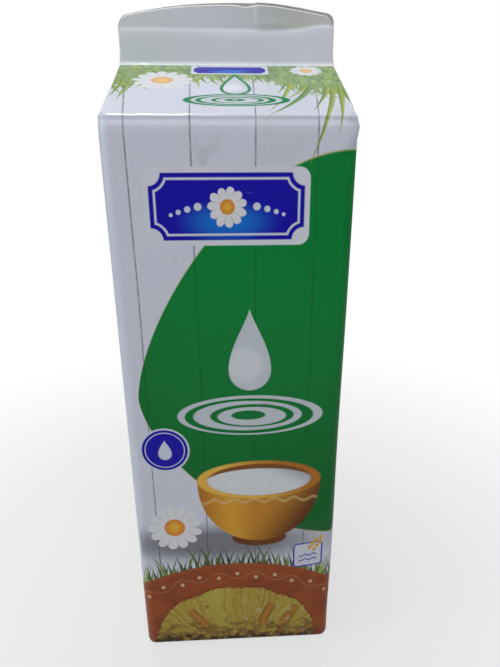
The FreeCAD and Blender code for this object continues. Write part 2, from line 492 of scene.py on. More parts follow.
def open_edges(piece, wanted):
    pick(piece, "edges", lambda edge: len(edge.link_faces) == 1
         and wanted((edge.verts[0].co + edge.verts[1].co) / 2))


def into_groove(point):
    """From the inner side of a cut edge down into the line between the two layers."""
    across = min(abs(point.x), FIN_HALF)
    corner, past = arch_corner(point.x, "front")
    past /= corner
    x = math.copysign(across - GROOVE * past, point.x)
    share = (point.z - RIDGE - LIP_FOOT) / (fin_top(point.x, lip_layer(point)) - LIP_FOOT)
    top = fin_top(math.copysign(across, point.x), "front") - GROOVE * math.sqrt(1 - past * past)
    if share < SMALL:
        return Vector((x, 0, point.z))
    return Vector((x, 0, RIDGE + LIP_FOOT + share * (top - LIP_FOOT)))


def crushed(point):
    """The rounded edge of the front layer, on its way to the cut face."""
    corner, past = arch_corner(point.x, "front")
    past /= corner
    upward = math.sqrt(1 - past * past) * smooth((point.z - RIDGE - LIP_FOOT) / MM)
    return Vector((point.x, point.y + CRUSH * 0.9, point.z + CRUSH * upward))


def cut_edges(sleeve):
    """Gives the two layers of the lip their board thickness and closes the ends of the fin."""
    bpy.ops.object.mode_set(mode="EDIT")
    lip_foot = RIDGE + BAND_HEIGHT - SMALL
    for side in (-1, 1):
        open_edges(sleeve, lambda point: point.y * side > LIP_HALF / 2 and point.z > lip_foot
                   and not is_fold_end(point))
        if side < 0:
            bpy.ops.mesh.extrude_edges_move()
            move_selected(sleeve, crushed)
        bpy.ops.mesh.extrude_edges_move()
        move_selected(sleeve, lambda co: Vector((co.x, side * (LIP_HALF - BOARD), co.z)))
        bpy.ops.mesh.extrude_edges_move()
        move_selected(sleeve, into_groove)
    bpy.ops.mesh.select_all(action="SELECT")
    bpy.ops.mesh.remove_doubles(threshold=WELD)
    for side in (-1, 1):
        open_edges(sleeve, lambda point: point.x * side > 0)
        bpy.ops.mesh.edge_face_add()
    bpy.ops.mesh.select_all(action="SELECT")
    bpy.ops.mesh.normals_make_consistent(inside=False)
    bpy.ops.object.mode_set(mode="OBJECT")


def is_fold_end(point):
    """True on the open end of a side fold, level with the top of the four layers."""
    level = abs(point.z - RIDGE - BAND_HEIGHT) < 0.1 * MM
    return level and abs(point.x) > FIN_HALF - 2 * FOLD_RADIUS


def is_cut_edge(face):
    place = middle(face)
    return place.z > RIDGE + BAND_HEIGHT and abs(place.y) < LIP_HALF - 0.02 * MM


def is_inner_side(face):
    return is_cut_edge(face) and 0 < middle(face).y < LIP_HALF - BOARD + SMALL and face.normal.y < -0.5


def mark_cut_edges(sleeve):
    """The bare board gets its own material slots, and a part of the UV map that nothing else uses."""
    bpy.ops.object.mode_set(mode="EDIT")
    for slot, wanted in ((EDGE_SLOT, is_cut_edge), (INNER_SLOT, is_inner_side)):
        pick(sleeve, "faces", wanted)
        sleeve.active_material_index = slot
        bpy.ops.object.material_slot_assign()
    bpy.ops.object.mode_set(mode="OBJECT")
    layer = sleeve.data.uv_layers[UV_NAME]
    verts = sleeve.data.vertices
    for face in sleeve.data.polygons:
        if face.material_index == 0:
            continue
        for corner, index in zip(face.loop_indices, face.vertices):
            point = verts[index].co
            if len(face.vertices) > 4:
                end = math.copysign(HALF_WIDTH, point.x)
                across = PANEL + end * 0.6 + (point.x - end) * 3
                upward = -8 * MM + point.y * 3
            else:
                across = PANEL + point.x * 0.85
                upward = -22 * MM + point.y * 6 + max(point.z - RIDGE - 12 * MM, 0) * 0.3
            layer.data[corner].uv = on_blank(across, upward)


# ---- use and handling

FULLNESS = 0.45 * MM  # the walls bow out a little over the milk
FULL_FROM = 30 * MM  # they are fullest from this height
FULL_TO = 90 * MM  # up to this one
FULL_FADE = 80 * MM  # and flat again so much higher
ROOF_SAG = 0.25 * MM
SHOULDER_STEP = 0.75 * MM  # how far the shoulder fold stands behind the wall
END_TUCK = 0.36 * MM  # the roof's left end is pressed in this far
DENT = 0.15 * MM  # and its front fold this deep
DENT_REACH = 0.9 * MM


def wall_bow(across, height):
    """Outward bow of a wall: fullest low down, none along its edges."""
    over = math.cos(math.pi * min(abs(across) / HALF_WIDTH, 1) / 2)
    up = smooth(height / FULL_FROM) * (1 - smooth((height - FULL_TO) / FULL_FADE))
    ripple = 0.3 * noise.noise(Vector((across * 40, height * 22, 3)))
    return FULLNESS * over * (up + ripple * smooth(height / (20 * MM)))


def shoulder_score(below):
    """The wall stands back under the shoulder fold, and comes out again over a few millimetres."""
    upper = 1 - smooth((below / MM - 0.75) / 2.1)
    lower_part = 1 - smooth((below / MM - 0.9) / 4.0)
    return -SHOULDER_STEP * (0.55 * upper + 0.45 * lower_part)


CORNER_CREASES = (  # from and to, in mm round from the middle of the front and down from the shoulder
    ((32.6, 1.5), (36.4, 6.0)),
    ((36.2, 4.0), (33.4, 9.5)),
    ((33.0, 8.0), (30.4, 13.0)),
)


def corner_creases(around, below):
    """Depth of the small creases under the right end of the shoulder fold."""
    spot = Vector((around / MM, below / MM))
    depth = 0.0
    for start, end in CORNER_CREASES:
        start, end = Vector(start), Vector(end)
        share = min(max((spot - start).dot(end - start) / (end - start).length_squared, 0.0), 1.0)
        off = (spot - start.lerp(end, share)).length
        depth += math.exp(-(off / 0.8) ** 2) * (0.6 + 0.4 * math.sin(math.pi * share))
    return 0.4 * MM * min(depth, 1.2)


def lip_lean(x, height):
    """How far the lip leans to the front, with the buckle right of its middle."""
    above = height - step_height(x) * 0.97
    if above <= 0:
        return 0.0
    lift = min(above / (6 * MM), 1.2)
    buckle = smooth((x / MM - 8.2) / 1.3) * (1 - smooth((x / MM - 12) / 20))
    lean = 0.55 + 0.2 * math.sin(x / (11 * MM) + 1.0) + 0.75 * buckle
    return lean * lift * MM


def noise_along(x, pitch_mm, seed):
    return noise.noise(Vector((x / (pitch_mm * MM), seed, 0)))


def near_corner(point, side, below, reach, squat=1.0):
    """1 at the front shoulder corner on a side, or this far below it, and 0 past the reach; in mm."""
    off_z = (point.z - SHOULDER + below * MM) * squat
    off = Vector((point.x - side * HALF_WIDTH, (point.y + HALF_DEPTH) * 0.6, off_z))
    return math.exp(-(off.length / (reach * MM)) ** 2)


def handled(point):
    """Where a point of the folded carton ends up after filling and handling."""
    place = point.copy()
    x, y, z = point
    if z < SHOULDER:
        if abs(y) >= FLAT_Y:
            out = wall_bow(x, z) + shoulder_score(SHOULDER - z)
            place.y += out if y > 0 else -out
        if abs(x) >= FLAT_X:
            place.x += wall_bow(y, z) if x > 0 else -wall_bow(y, z)
        if x > 0:
            pressed = 0.25 * bump(z, 88, 30) + 0.3 * bump(z, 12, 16)
            place.x -= pressed * MM * x / HALF_WIDTH
    elif z < RIDGE and abs(y) > FLAT_Y * (RIDGE - z) / ROOF_RISE:
        up = (z - SHOULDER) / ROOF_RISE
        sag = ROOF_SAG * math.sin(math.pi * up) * (1 - (x / HALF_WIDTH) ** 2)
        place -= Vector((0, math.copysign(0.5, y), 0.87)) * sag
        place.y -= math.copysign(SHOULDER_STEP * (1 - smooth(up * 2.5)), y)
        if x < 0:
            place.x -= END_TUCK * x / HALF_WIDTH * math.sin(math.pi * up)
        near = math.exp(-((z - SHOULDER - 0.5 * MM) / DENT_REACH) ** 2)
        dent = noise_along(x, 3.3, 7.3) + 0.2 * noise_along(x, 1.6, 2.1)
        place.z += DENT * dent * near
    elif z >= RIDGE:
        height = z - RIDGE
        wave = 0.35 * math.sin(x / (14 * MM) + 0.6) + 0.12 * math.sin(x / (5.3 * MM) + 2)
        place.y += wave * MM * smooth(height / (17 * MM))
        place.y -= lip_lean(x, height)
        if y < 0:
            place.y -= 0.3 * MM * bump(x, 13.5, 5.5) * bump(height, 11.4, 1.2)
    # the soft corners at the ends of the front fold
    place.x += 0.1 * MM * near_corner(point, -1, 1.0, 3.5, 0.7)
    place += Vector((-0.3, 0.3, -0.2)) * MM * near_corner(point, 1, 0.0, 2.6)
    place.x += 0.85 * MM * near_corner(point, 1, 3.0, 3.0)
    if z < SHOULDER and x > FLAT_X - 3 * MM and y < -FLAT_Y + 4 * MM:
        turned = turned_share(point) * math.pi / 2
        depth = corner_creases(round_the_sleeve(point), SHOULDER - z)
        place += Vector((-math.sin(turned), math.cos(turned), 0)) * depth
    return place


def wear_in(carton):
    """Moves the whole board as filling and handling did."""
    bpy.ops.object.mode_set(mode="EDIT")
    bpy.ops.mesh.select_all(action="SELECT")
    move_selected(carton, handled)
    bpy.ops.object.mode_set(mode="OBJECT")


# ---- shader sums

class Amount:
    """A number that varies over a surface; sums of it become math nodes."""

    def __init__(self, tree, socket):
        self.tree = tree
        self.socket = socket


def plug(tree, socket, value):
    """Links a value to a socket, or sets it there."""
    if isinstance(value, Amount):
        tree.links.new(value.socket, socket)
    elif isinstance(value, bpy.types.NodeSocket):
        tree.links.new(value, socket)
    elif isinstance(value, tuple) and len(value) == 3 and len(socket.default_value) == 4:
        socket.default_value = (*value, 1)
    else:
        socket.default_value = value


made_nodes = {}


def node_of(tree, kind, values, **settings):
    """A node with these input values, by socket number; the same one if it is asked for again."""
    given = (value.socket if isinstance(value, Amount) else value for value in values.values())
    given = [(value.node.name, value.identifier) if isinstance(value, bpy.types.NodeSocket) else value
             for value in given]
    key = (tree.as_pointer(), kind, *values, *given, *settings.items())
    if key not in made_nodes:
        node = tree.nodes.new(kind)
        for setting, choice in settings.items():
            setattr(node, setting, choice)
        for number, value in values.items():
            plug(tree, node.inputs[number], value)
        made_nodes[key] = node
    return made_nodes[key]


def sum_of(operation, turned=False):
    """A function that makes the math node of one operation on an amount, and on a second one if given."""
    def reckon(amount, *others):
        values = (*others, amount) if turned else (amount, *others)
        node = node_of(amount.tree, "ShaderNodeMath", dict(enumerate(values)), operation=operation)
        return Amount(amount.tree, node.outputs[0])
    return reckon


Amount.__add__ = Amount.__radd__ = sum_of("ADD")
Amount.__sub__ = sum_of("SUBTRACT")
Amount.__rsub__ = sum_of("SUBTRACT", turned=True)
Amount.__mul__ = Amount.__rmul__ = sum_of("MULTIPLY")
Amount.__truediv__ = sum_of("DIVIDE")
Amount.__abs__ = sum_of("ABSOLUTE")
Amount.__pow__ = sum_of("POWER")
lower = sum_of("MINIMUM")
higher = sum_of("MAXIMUM")
sine = sum_of("SINE")
cosine = sum_of("COSINE")
angle_of = sum_of("ARCTAN2")
root_of = sum_of("SQRT")
floor_of = sum_of("FLOOR")


def wrap(value, span):
    """The value brought into 0 to span by whole spans."""
    return value - floor_of(value / span) * span


def distance(x, z):
    spot = node_of(x.tree, "ShaderNodeCombineXYZ", {0: x, 1: z}).outputs[0]
    node = node_of(x.tree, "ShaderNodeVectorMath", {0: spot}, operation="LENGTH")
    return Amount(x.tree, node.outputs["Value"])


def ramp(value, start, end, low=0.0, high=1.0):
    """Goes smoothly from low to high while the value goes from start to end."""
    values = dict(enumerate((value, start, end, low, high)))
    node = node_of(value.tree, "ShaderNodeMapRange", values, interpolation_type="SMOOTHSTEP", clamp=False)
    return Amount(value.tree, node.outputs[0])


INK_EDGE = 0.16  # softness of a printed edge, mm


def inside(gap, soft=INK_EDGE):
    """1 where the distance to a shape's outline is negative, 0 outside it."""
    return ramp(gap, soft, -soft)


def cloud(tree, stretch, scale, detail=2.0, rough=0.5, seed=0.0, slant=0.0):
    """Soft noise from 0 to 1 over the flat blank.

    scale is in spots per mm, stretch is how much more of them there are across and up, and the
    whole is turned by slant first.
    """
    place = node_of(tree, "ShaderNodeUVMap", {}, uv_map=UV_NAME).outputs[0]
    if slant:
        place = node_of(tree, "ShaderNodeMapping", {0: place, 2: (0, 0, slant)}).outputs[0]
    size = (stretch[0] * BLANK / MM, stretch[1] * BLANK / MM, 1)
    place = node_of(tree, "ShaderNodeMapping", {0: place, 1: (0, 0, seed), 3: size}).outputs[0]
    node = node_of(tree, "ShaderNodeTexNoise", {0: place, 2: scale, 3: detail, 4: rough})
    return Amount(tree, node.outputs[0])


def threads(value, scale, detail=2.0, rough=0.5):
    """Soft noise from 0 to 1 that varies along one value only."""
    values = {1: value, 2: scale, 3: detail, 4: rough}
    node = node_of(value.tree, "ShaderNodeTexNoise", values, noise_dimensions="1D")
    return Amount(value.tree, node.outputs[0])


def chance(value, seed):
    """A fixed random number from 0 to 1 for each whole value."""
    node = node_of(value.tree, "ShaderNodeTexWhiteNoise", {1: value + seed * 37}, noise_dimensions="1D")
    return Amount(value.tree, node.outputs[0])


def paint(under, over, cover):
    """Lays one colour over another where cover is 1."""
    node = node_of(cover.tree, "ShaderNodeMix", {0: cover, 6: under, 7: over}, data_type="RGBA")
    return node.outputs[2]


class Sheet:
    """The print so far: colours laid one over another."""

    def __init__(self, colour):
        self.colour = colour

    def lay(self, over, cover):
        """Lays a colour over the rest where cover is 1."""
        self.colour = paint(self.colour, over, cover)


def blended(one, two, share):
    """A plain colour between two others."""
    return tuple(mix(a, b, share) for a, b in zip(one, two))


def oval(x, z, spot, half):
    """Distance to an ellipse's outline."""
    return (distance((x - spot[0]) / half[0], (z - spot[1]) / half[1]) - 1) * min(half)


def tablet(x, z, spot, half, corner):
    """Distance to the outline of an upright rectangle with round corners."""
    past_x = higher(abs(x - spot[0]) - (half[0] - corner), 0.0)
    past_z = higher(abs(z - spot[1]) - (half[1] - corner), 0.0)
    return distance(past_x, past_z) - corner


# ---- the print
# Places and sizes are in mm on the flat blank: x round it from the middle of the front, z up it.

PANEL_MM = PANEL / MM
SHOULDER_MM = SHOULDER / MM
FIN_FOOT_MM = SLEEVE_FOOT / MM
LIP_MM = (SLEEVE_FOOT + BAND_HEIGHT) / MM
PLANK = PANEL_MM / 4

WHITE = (0.60, 0.62, 0.71)
FIN_WHITE = (0.67, 0.69, 0.755)
LINE_WHITE = (0.58, 0.62, 0.70)
SEAL_WHITE = (0.55, 0.59, 0.68)
JOINT = (0.13, 0.125, 0.15)
GREEN = (0.003, 0.215, 0.042)
DEEP_GREEN = (0.004, 0.125, 0.022)
RIM = (0.36, 0.40, 0.10)
BLUE = (0.010, 0.006, 0.36)
BRIGHT_BLUE = (0.010, 0.15, 0.60)
OCHRE = (0.50, 0.22, 0.025)
TERRACOTTA = (0.30, 0.072, 0.022)
CREAM = (0.55, 0.42, 0.24)
GRAIN_GOLD = (0.60, 0.33, 0.03)
EYE = ((0.72, 0.42, 0.05), (0.62, 0.20, 0.03))  # a daisy's, from its middle to its rim
PALE_EYE = ((0.74, 0.52, 0.20), (0.68, 0.40, 0.18))

LABEL = (-1.0, 162.0)
LABEL_HALF = (21.5, 9.0)
LABEL_BEADS = ((8.2, 1.05), (11.1, 0.85), (13.6, 0.68), (15.7, 0.52))  # place and radius of each
DROP = (5.0, 113.0)
DROP_RADIUS = 6.6
RINGS = ((1.25, 0.42), (2.35, 0.30), (3.35, 0.2))  # radius and thickness, in radii of the drop
BOWL = (8.0, 66.0)
DAISY = (-21.5, 54.5)
SEAL = (-23.0, 85.5)
TAG = (25.6, 40.6)
SCUFF = (9.6, 101.3)
SQUAT = 1.22  # how much shorter than round the roof's daisies are up the roof
FIRST_JOINT = -27.6  # a joint between two planks
LEAF_END = -30  # the leaf's left end, and its length round the corner
LEAF_LENGTH = 131
LEAF_MIDDLE = 104  # height of the line from one of its ends to the other
LEAF_UP = 70  # how far it swells above that line, and below it
LEAF_DOWN = 57


def from_middle(x):
    """Distance across from the middle of the nearest wall."""
    return wrap(x + PANEL_MM / 2, PANEL_MM) - PANEL_MM / 2


def planks(x, z):
    """Whitewashed boards: thin dark joints, faint smudges, and no two boards quite alike.

    On the roof the boards spread a little towards the ridge.
    """
    local = from_middle(x)
    spread = higher(z - SHOULDER_MM, 0.0) * (0.0035 + ramp(-1 * local, 5, 25) * 0.0016)
    straight = x - local * spread / (1 + spread)
    drift = (cloud(x.tree, (1, 0.3), 0.05, 1.0) - 0.5) * 1.2
    board = (straight - FIRST_JOINT + drift) / PLANK
    number = floor_of(board)
    across = (board - number) * PLANK
    joint_gap = lower(across, PLANK - across)
    sheet = Sheet(WHITE)
    sheet.lay((0.57, 0.59, 0.675), chance(number, 3.0))
    grain = cloud(x.tree, (1.6, 0.16), 0.9, 4.0, 0.6)
    sheet.lay((0.50, 0.515, 0.555), ramp(grain, 0.52, 0.8) * 0.4)
    smudge = cloud(x.tree, (1, 0.45), 0.11, 5.0, 0.62, 7.0)
    sheet.lay((0.36, 0.37, 0.41), ramp(smudge, 0.60, 0.78) * 0.5)
    sheet.lay((0.68, 0.69, 0.74), inside(abs(across - 0.55) - 0.18, 0.3) * 0.35)
    worn = ramp(cloud(x.tree, (1, 1), 0.25, 3.0), 0.25, 0.6, 0.45, 1.0)
    sheet.lay(JOINT, inside(joint_gap - 0.17, 0.24) * worn)
    return sheet, joint_gap


def leaf_field(sheet, x, z, joint_gap):
    """The big green leaf that lies round the corner, from the front wall onto the side."""
    along = (x - LEAF_END) / LEAF_LENGTH
    swell = sine(higher(lower(along, 1.0), 0.0) * math.pi) ** 0.62
    above = z - LEAF_MIDDLE - sine(along * 3.4) * 3
    gap = higher(above - swell * LEAF_UP, -1 * above - swell * LEAF_DOWN)
    shade = cloud(x.tree, (1, 1), 0.03, 2.0)
    depth = ramp(z, 165, 55) * 0.7 + ramp(distance((x - 4) / 1.2, (z - 128) / 1.6), 12, 52) * 0.35
    green = paint(GREEN, DEEP_GREEN, depth + shade * 0.25 - 0.15)
    green = paint(green, (0.004, 0.06, 0.02), inside(joint_gap - 0.14, 0.22) * 0.55)
    sheet.lay(RIM, inside(gap, 0.2) * 0.9)
    sheet.lay(green, inside(gap + 0.35, 0.2))


def plaque(sheet, x, z, spot, half, with_flower=True):
    """A dark blue label with scooped corners, and with a white line, beads and a daisy if wanted."""
    scoop = half[1] * 0.38
    past_x = abs(x - spot[0])
    past_z = abs(z - spot[1])
    flat = higher(past_x - half[0], past_z - half[1])
    corner = scoop - distance(past_x - half[0], past_z - half[1])
    gap = higher(flat, corner)
    margin = half[1] * 0.1 + 0.6
    frame_gap = tablet(x, z, spot, (half[0] + margin, half[1] + margin), scoop * 0.9)
    sheet.lay((0.62, 0.64, 0.70), inside(frame_gap))
    glow = ramp(distance((x - spot[0]) / half[0], (z - spot[1] + half[1] * 0.45) / half[1]), 0.15, 0.75)
    blue = paint(BRIGHT_BLUE, BLUE, glow)
    sheet.lay(blue, inside(gap))
    if with_flower:
        line = inside(abs(gap + half[1] * 0.17) - half[1] * 0.035)
        sheet.lay(LINE_WHITE, line)
        for step, radius in LABEL_BEADS:
            bead = distance(past_x - step, z - spot[1] + 0.012 * step * step - 0.9) - radius
            sheet.lay(LINE_WHITE, inside(bead))
        daisy(sheet, x, z, spot, 5.6, 11, 0.3)


def daisy(sheet, x, z, spot, radius, petals, turn=0.0, eye=EYE):
    """White petals round an orange eye."""
    off_x = x - spot[0]
    off_z = z - spot[1]
    angle = angle_of(off_z, off_x)
    reach = distance(off_x, off_z)
    lobe = abs(sine(angle * (petals / 2) + turn))
    uneven = cloud(x.tree, (1, 1), 2.0 / radius, 1.0, 0.5, turn * 5) * 0.25
    outline = reach - (0.74 + 0.26 * lobe ** 0.6 - uneven + 0.1) * radius
    between = inside(lobe - 0.16, 0.1) * ramp(reach, radius * 0.35, radius * 0.6)
    petal = paint((0.66, 0.67, 0.70), (0.40, 0.42, 0.44), between * 0.6)
    sheet.lay(petal, inside(outline))
    eye_colour = paint(eye[0], eye[1], ramp(reach, 0, radius * 0.4))
    sheet.lay(eye_colour, inside(reach - radius * 0.37, 0.2))


def drop_shape(x, z, spot, radius, tall):
    """Distance to the outline of a falling drop, its round part centred on the spot."""
    off_x = abs(x - spot[0])
    off_z = z - spot[1]
    up = lower(higher(off_z / tall, 0.0), 1.0)
    narrow = cosine(up * (math.pi / 2)) ** 1.6 * radius
    upper = off_x - narrow + up ** 4 * 0.5
    round_part = distance(off_x, off_z) - radius
    is_upper = ramp(off_z, -0.01, 0.01)
    return upper * is_upper + round_part * (1 - is_upper)


def drop_and_ripples(sheet, x, z, spot, size, white, outline=None):
    """A falling drop of milk over the rings it makes; size is the drop's radius.

    outline is the colour and width of a line round them all.
    """
    gap = drop_shape(x, z, spot, size, size * 3.3)
    ring_x = x - spot[0]
    ring_z = (z - spot[1] + size * 2.35) / 0.30
    reach = distance(ring_x, ring_z)
    for ring, thick in RINGS:
        lopsided = 1 + 0.35 * sine(angle_of(ring_z, ring_x) + ring * 2)
        gap_ring = (abs(reach - ring * size) - thick * size * lopsided) * 0.45
        gap = lower(gap, gap_ring)
    if outline:
        sheet.lay(outline[0], inside(gap - outline[1]))
    shade = distance(x - spot[0] + size * 0.25, z - spot[1] - size * 0.3)
    milk = paint(white, (0.42, 0.47, 0.52), ramp(shade, size * 0.55, size * 1.15) * 0.55)
    sheet.lay(milk, inside(gap))


def turf(x, above, tall, pitch, lean, width, seed):
    """A row of grass blades: how much of them covers a point, and each blade's own number."""
    up = above / tall
    root = x - lean * up * up
    number = floor_of(root / pitch)
    luck = chance(number, seed)
    off = abs(root - (number + 0.5 + (luck - 0.5) * 0.4) * pitch)
    length = 0.4 + 0.6 * luck
    gap = off - (1 - up / length) * width
    return inside(gap, 0.14), luck


def grass(sheet, x, above, rows, dark, light, shade):
    """Rows of blades that grow from where above is 0, the darkest behind and where shade is 1."""
    for index, (tall, pitch, lean, width) in enumerate(rows):
        cover, luck = turf(x, above, tall, pitch, lean, width, index + 1.5)
        share = (index + 0.5) / len(rows)
        tint = blended(dark, light, share)
        blade = paint(tuple(c * 0.5 for c in tint), tuple(min(c * 1.35, 1) for c in tint), luck)
        sheet.lay(paint(blade, dark, shade), cover)


def bowl(sheet, x, z, spot):
    """An ochre bowl filled with milk, drawn small and then enlarged."""
    half = 17.5
    size = 1.2
    x = x / size
    z = z / size
    spot = (spot[0] / size, spot[1] / size)
    rim_z = spot[1] + 6
    off_x = x - spot[0]
    down = (rim_z - z) / 21
    belly = root_of(higher(1 - higher(down, 0.0) ** 2.2, 0.0)) * half
    body_gap = higher(abs(off_x) - belly, z - rim_z)
    foot_gap = oval(x, z, (spot[0], rim_z - 20.0), (8.0, 3.0))
    rim_gap = oval(x, z, (spot[0], rim_z), (half, 6.2))
    shadow = oval(x, z, (spot[0] - 13, rim_z - 21.5), (27, 5.5))
    sheet.lay((0.09, 0.09, 0.10), ramp(shadow, 3.5, -3.0) * 0.8)
    turned = off_x / half
    body = paint((0.62, 0.31, 0.035), OCHRE, ramp(abs(turned + 0.45), 0.0, 0.4))
    body = paint(body, (0.10, 0.028, 0.008), ramp(turned + down * 0.75, 0.35, 1.35))
    body = paint(body, (0.36, 0.13, 0.02), ramp(turned, -0.72, -1.0) * 0.7)
    stripe = inside(abs(down - 0.33 - 0.03 * sine(off_x * 1.1)) - 0.02, 0.02)
    body = paint(body, (0.66, 0.50, 0.22), stripe * 0.55)
    sheet.lay((0.14, 0.045, 0.012), inside(foot_gap))
    sheet.lay(body, inside(body_gap))
    rim = paint((0.70, 0.42, 0.07), (0.40, 0.15, 0.02), ramp(off_x + z - rim_z, -9, 14))
    sheet.lay(rim, inside(rim_gap))
    inner = inside(rim_gap + 1.0)
    sheet.lay((0.20, 0.075, 0.015), inner)
    milk_gap = oval(x, z, (spot[0], rim_z - 0.9), (15.6, 4.6))
    milk = paint((0.63, 0.65, 0.68), (0.30, 0.32, 0.36), ramp(off_x * 0.8 + (z - rim_z) * 1.6, 4, 15) * 0.8)
    ring = distance(off_x + 3, (z - rim_z + 1) / 0.3)
    milk = paint(milk, (0.74, 0.76, 0.79), inside(abs(ring - 5.2) - 0.5, 0.5) * 0.5)
    sheet.lay(milk, inside(milk_gap) * inner)


DISH_FOOT = -37.5  # height of the middle of the dish's round rim
DISH_REACH = 75.5  # and its radius
WAVES = 32  # of its wave line, in a whole round; a dot stands by each half wave
HEAP_DEPTH = 14  # the heap's rolls and strands are drawn round a spot this far under the walls
HEAP_REACH = 22  # and their widths are those at this distance from it
ROLL_PITCH = 6.6


def dish(sheet, x, z):
    """The rim of a terracotta dish with a wave line and dots."""
    depth = DISH_REACH - distance(x, z - DISH_FOOT)
    turn = angle_of(x, z - DISH_FOOT)
    mottled = cloud(x.tree, (1, 1), 0.12, 4.0)
    clay = paint(TERRACOTTA, (0.17, 0.035, 0.014), ramp(mottled, 0.35, 0.7) * 0.5)
    clay = paint(clay, (0.36, 0.10, 0.035), inside(abs(depth - 0.7) - 0.25, 0.4) * 0.6)
    wave = cosine(turn * WAVES)
    line = inside(abs(depth - 5.5 - wave * 1.5) - 0.15, 0.18)
    clay = paint(clay, (0.42, 0.22, 0.09), line * 0.75)
    around = turn * (WAVES / math.pi)
    number = floor_of(around + 0.5)
    beat = (around - number) * (DISH_REACH * math.pi / WAVES)
    above_line = abs(wrap(number, 2.0) - 1)
    dots = distance(beat, depth - 6.3 + above_line * 1.6) - 0.75
    clay = paint(clay, CREAM, inside(dots))
    sheet.lay(clay, inside(-1 * depth))


def grain_heap(sheet, x, z):
    """Golden grain heaped in the dish: bands, strands and browned rolls, and shade at its foot."""
    ragged = (cloud(x.tree, (1, 1), 0.5, 4.0, 0.7) - 0.5) * 3.2 + abs(sine(x * 0.21))
    gap = oval(x, z, (-0.5, -1.0), (31.5, 28.0)) - ragged + 0.8
    turn = angle_of(x, z + HEAP_DEPTH) * HEAP_REACH
    reach = distance(x, z + HEAP_DEPTH)
    warp = cloud(x.tree, (1, 1), 0.12, 2.0) * 5
    bands = threads(turn + warp, 0.16, 1.0)
    strands = cloud(x.tree, (1.5, 0.6), 1.0, 4.0, 0.7, 5.0)
    fur = threads(turn * 1.3 + warp * 0.8 + strands * 2.5, 1.3, 3.0, 0.7)
    heap = paint((0.42, 0.34, 0.05), (0.39, 0.27, 0.036), ramp(bands, 0.40, 0.52))
    heap = paint(heap, (0.50, 0.44, 0.13), ramp(fur, 0.46, 0.66) * 0.65)
    heap = paint(heap, (0.25, 0.155, 0.028), ramp(fur, 0.50, 0.32) * 0.6)
    place = turn / ROLL_PITCH + 0.2
    roll = floor_of(place)
    luck = chance(roll, 4.0)
    wander = (warp - 2.5) * 0.5
    slant = (reach - 26) * (luck - 0.5) * 0.5
    off = abs((place - roll - 0.5) * ROLL_PITCH * reach / HEAP_REACH + slant + wander)
    off = off + strands * 1.2 - 0.6
    past_end = higher(abs(reach - 25 - luck * 7) - 2 - luck * 4, 0.0)
    roll_gap = distance(higher(off - 0.4, 0.0), past_end) - 1.2
    roll_gap = roll_gap + ramp(luck, 0.42, 0.36) * 5
    clay = paint((0.44, 0.19, 0.03), (0.24, 0.08, 0.02), ramp(off, 0.4, 1.8))
    heap = paint(heap, (0.10, 0.045, 0.015), inside(roll_gap - 0.3, 0.5) * 0.4)
    heap = paint(heap, clay, inside(roll_gap, 0.4) * 0.85)
    pale = cloud(x.tree, (1, 0.8), 0.3, 2.0, 0.5, 17.0)
    heap = paint(heap, (0.50, 0.47, 0.27), ramp(pale, 0.60, 0.72) * ramp(x, -12, 14) * 0.75)
    pits = cloud(x.tree, (0.9, 1.2), 0.32, 5.0, 0.72, 9.0)
    low = ramp(z, 14, 2)
    heap = paint(heap, (0.17, 0.085, 0.028), ramp(pits + low * 0.19, 0.57, 0.66) * 0.75)
    deep = pits + low * 0.10 + ramp(z, 7, -1) * 0.16
    heap = paint(heap, (0.045, 0.024, 0.014), ramp(deep, 0.66, 0.74) * 0.9)
    sheet.lay((0.10, 0.03, 0.012), ramp(gap, 1.4, -0.4) * 0.6)
    sheet.lay(heap, inside(gap, 0.25))


HANG_ROWS = (  # length, spacing, lean and half width of the blades that hang over the roof
    (14, 2.6, 5.0, 1.3),
    (12, 2.1, -5.0, 1.1),
    (11, 1.9, 2.5, 1.0),
    (12, 3.1, -7.0, 0.8),
)
SPRING_ROWS = (  # and of those that stand behind the dish
    (12, 1.9, -2.5, 0.8),
    (12, 2.3, 3.5, 0.75),
    (16, 4.1, -6.0, 0.8),
    (12, 2.7, 1.5, 0.7),
    (15, 5.3, 5.5, 0.8),
)
LONG_BLADES = (  # root and tip across, start and end down the roof, half width, and yellowness
    (17.0, 13.8, 14, 24, 0.45, 0.1),
    (23.5, 15.5, 15, 28.5, 0.7, 0.8),
    (18.5, 10.5, 13, 37, 0.65, 0.9),
    (24.8, 10.0, 14, 39.8, 1.1, 0.0),
    (29.3, 25.6, 17, 30, 0.7, 0.9),
    (28.8, 22.3, 15, 37, 0.5, 0.0),
    (30.6, 21.8, 15, 51, 0.8, 0.6),
    (32.6, 29.2, 15, 43.5, 0.75, 0.65),
    (33.2, 33.4, 19, 31, 0.5, 0.2),
    (-31.0, -33.2, 7, 27, 0.6, 0.5),
    (-29.3, -31.2, 8, 29.5, 0.65, 0.55),
    (-27.3, -30.0, 8, 24, 0.6, 0.4),
    (-9.6, -8.4, 9, 20, 0.5, 1.0),
)


def long_blade(sheet, x, down, blade):
    """One long blade that curls down from the turf, lighter along one half and to its tip."""
    root, tip, start, end, width, yellow = blade
    along = (down - start) / (end - start)
    centre = root + (tip - root) * higher(along, 0.0) ** 1.7
    half = (1 - along ** 2.4) * ramp(along, -0.1, 0.45, 0.55, 1.1) * width
    off = x - centre
    dark = blended((0.11, 0.22, 0.07), (0.22, 0.30, 0.05), yellow)
    light = blended((0.20, 0.31, 0.12), (0.41, 0.46, 0.08), yellow)
    tint = paint(dark, light, ramp(abs(off / width - 0.35), 0.75, 0.1))
    tint = paint(tint, (0.33, 0.25, 0.11), ramp(along, 0.75, 1.0) * 0.5)
    sheet.lay(tint, inside(abs(off) - half) * ramp(along, 0.0, 0.22))


